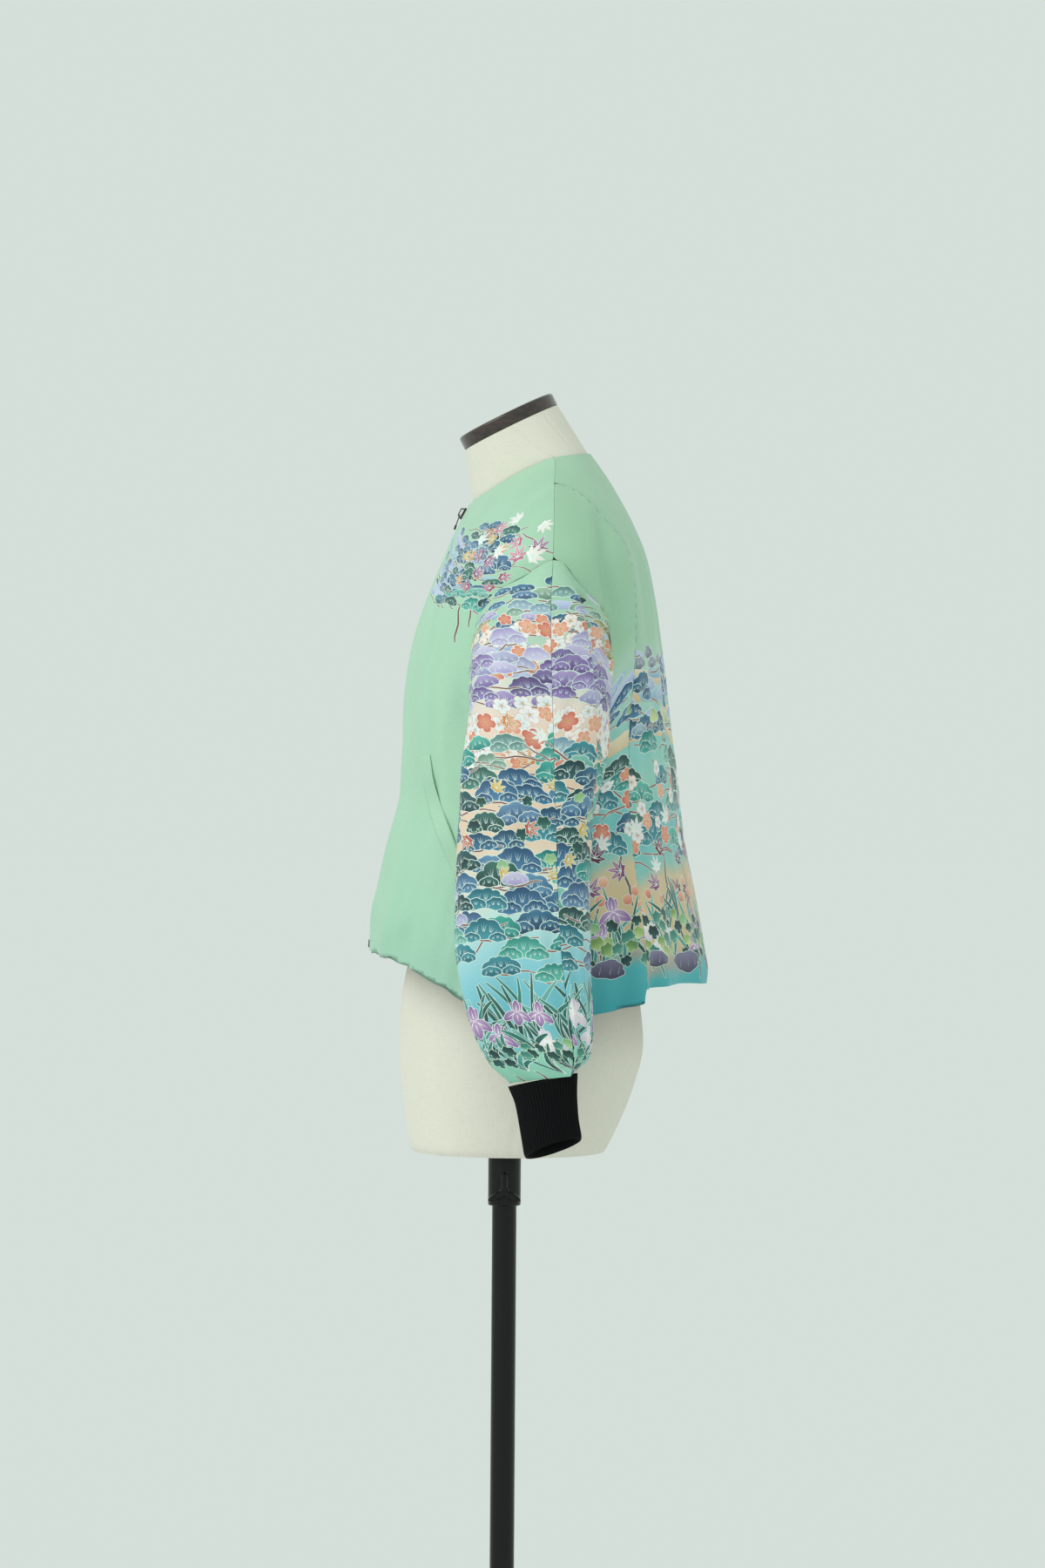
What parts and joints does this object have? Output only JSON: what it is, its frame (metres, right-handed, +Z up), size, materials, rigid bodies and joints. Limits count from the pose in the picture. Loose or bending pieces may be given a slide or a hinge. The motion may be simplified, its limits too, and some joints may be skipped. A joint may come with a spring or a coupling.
{
  "type": "kimono jacket on a dress form",
  "caption": "Zip-front blouson jacket of patterned kimono silk with balloon sleeves and rib cuffs, worn by a limbless dress form on a pole stand.",
  "frame": {"origin": "on the floor under the base, on the pole's axis", "axes": "+Z up, along the pole; the jacket's front faces -Y; +X is the wearer's left"},
  "size_m": [0.6458, 0.3782, 1.5653],
  "materials": {
    "kimono_silk": "soft crepe silk with a low sheen, celadon green with printed blossoms, pine boughs and leaves",
    "rib_knit": "black ribbed knit, matt",
    "zip_tape": "black woven zip tape",
    "zip_metal": "black coated, satin",
    "form_linen": "cream linen stretched over a hard shell, matt",
    "cap_wood": "dark stained and varnished",
    "stand_steel": "black, semi-gloss",
    "base_iron": "black powder coat, fine texture"
  },
  "bodies": {
    "base": {"stand_base": "base_iron"},
    "pole": {"pole": "stand_steel"},
    "form": {"back_centre": "kimono_silk", "back_side_left": "kimono_silk", "back_side_right": "kimono_silk", "bottom_plate": "stand_steel", "clamp_collar": "stand_steel", "cuff_left": "rib_knit", "cuff_right": "rib_knit", "form_torso": "form_linen", "front_left": "kimono_silk", "front_right": "kimono_silk", "neck_cap": "cap_wood", "pocket_welt_left": "kimono_silk", "pocket_welt_right": "kimono_silk", "sleeve_back_left": "kimono_silk", "sleeve_back_right": "kimono_silk", "sleeve_front_left": "kimono_silk", "sleeve_front_right": "kimono_silk", "zip_box": "zip_metal", "zip_slider": "zip_metal", "zip_tape_left": "zip_tape", "zip_tape_right": "zip_tape"},
    "knob": {"clamp_knob": "stand_steel"},
    "pull": {"zip_pull": "zip_metal"}
  },
  "joints": [
    {"name": "swivel", "type": "hinge", "parent": "base", "child": "pole", "pos_m": [0, 0, 0.008], "axis": [0, 0, 1], "continuous": true},
    {"name": "height", "type": "slide", "parent": "pole", "child": "form", "axis": [0, 0, 1], "range_m": [-0.2, 0.2]},
    {"name": "clamp_screw", "type": "hinge", "parent": "form", "child": "knob", "pos_m": [0, 0, 0.738], "axis": [1, 0, 0], "range_deg": [0, 360]},
    {"name": "pull_eye", "type": "hinge", "parent": "form", "child": "pull", "pos_m": [0, -0.05126, 1.43907], "axis": [-1, 0, 0], "range_deg": [0, 140]}
  ]
}
